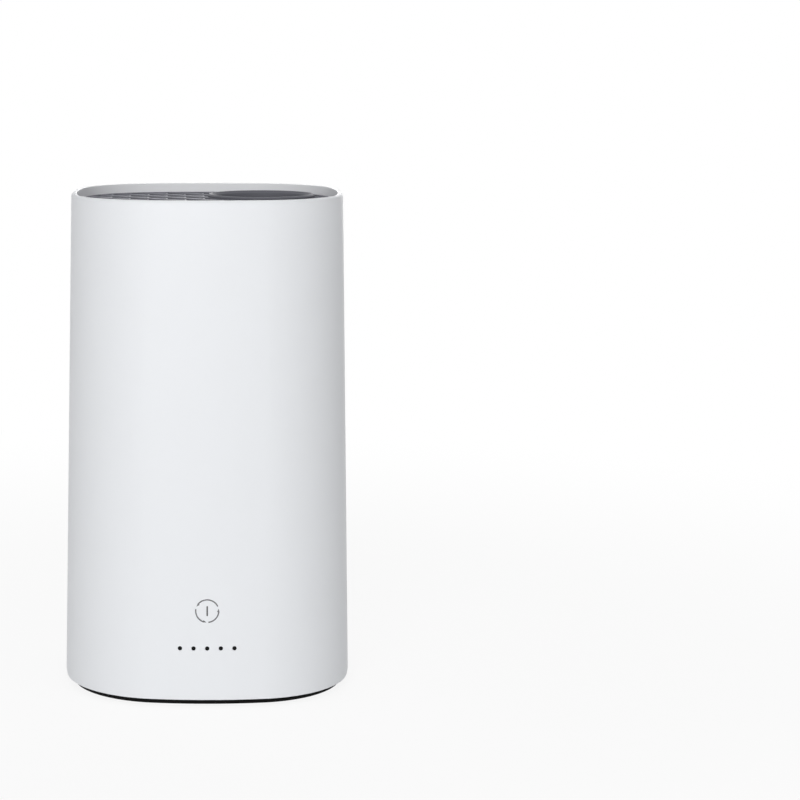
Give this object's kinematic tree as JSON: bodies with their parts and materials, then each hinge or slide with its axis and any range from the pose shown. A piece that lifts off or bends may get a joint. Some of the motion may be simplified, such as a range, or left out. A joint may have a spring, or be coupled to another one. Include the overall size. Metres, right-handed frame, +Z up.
{
  "type": "chopstick sterilizer box",
  "caption": "Countertop chopstick and knife sterilizer: leaning rounded-square shell, lift-out slatted grille with wavy fins and cup, drying tub, rear drip tray.",
  "frame": {"origin": "on the worktop, under the middle of the body", "axes": "+Z up; the front with the key and lights faces -Y; +X is to the right seen from the front"},
  "size_m": [0.16, 0.16, 0.271],
  "materials": {
    "shell_white": "satin moulded ABS",
    "tray_white": "satin moulded ABS",
    "tub_black": "fine moulded polypropylene",
    "grille_grey": "fine moulded polypropylene",
    "cup_grey": "fine moulded polypropylene",
    "base_black": "textured moulded ABS",
    "chassis_grey": "moulded ABS",
    "duct_plastic": "glass-filled nylon",
    "fan_black": "moulded PBT",
    "filter_foam": "open-cell foam",
    "foot_rubber": "moulded rubber",
    "seal_rubber": "silicone rubber",
    "pad_rubber": "conductive rubber",
    "screw_steel": "zinc plated",
    "steel": "brushed",
    "cutout_steel": "stamped",
    "bearing_brass": "sintered",
    "heater_aluminium": "folded fins",
    "lamp_aluminium": "white solder mask",
    "board_green": "solder mask",
    "parts_black": "moulded epoxy",
    "led_white": "moulded package",
    "light_smoke": "smoked polycarbonate",
    "inlet_black": "moulded nylon",
    "window_glass": "polished quartz"
  },
  "bodies": {
    "base": {"outer_shell": "shell_white", "inner_tub": "tub_black", "air_hood": "tub_black", "drain_spout": "seal_rubber", "drain_strainer": "steel", "base_plate": "base_black", "rubber_feet": "foot_rubber", "base_screws": "screw_steel", "chassis": "chassis_grey", "intake_filter": "filter_foam", "fan_frame": "fan_black", "fan_bearing": "bearing_brass", "heater_duct": "duct_plastic", "heater_core": "heater_aluminium", "duct_seal": "seal_rubber", "thermal_cutout": "cutout_steel", "control_board": "board_green", "board_parts": "parts_black", "status_leds": "led_white", "touch_pad": "pad_rubber", "light_pipes": "light_smoke", "power_inlet": "inlet_black", "lamp_holder": "tub_black", "lamp_board": "lamp_aluminium", "lamp_window": "window_glass", "lamp_emitters": "led_white"},
    "grille": {"grille_ring": "grille_grey", "grille_slats": "grille_grey", "wave_fins": "grille_grey", "long_fin": "grille_grey", "cup_collar": "grille_grey"},
    "cup": {"chopstick_cup": "cup_grey"},
    "tray": {"drip_tray": "tray_white"},
    "fan": {"fan_shaft": "steel", "fan_impeller": "fan_black"}
  },
  "joints": [
    {"name": "grille_lift", "type": "slide", "parent": "base", "child": "grille", "axis": [0, 0, 1], "range_m": [0, 0.205]},
    {"name": "cup_lift", "type": "slide", "parent": "grille", "child": "cup", "axis": [0, 0, 1], "range_m": [0, 0.205]},
    {"name": "tray_pull", "type": "slide", "parent": "base", "child": "tray", "axis": [0, 1, 0], "range_m": [0, 0.072]},
    {"name": "fan_spin", "type": "hinge", "parent": "base", "child": "fan", "pos_m": [0, -0.034, 0.018], "axis": [0, 0, 1], "continuous": true}
  ]
}
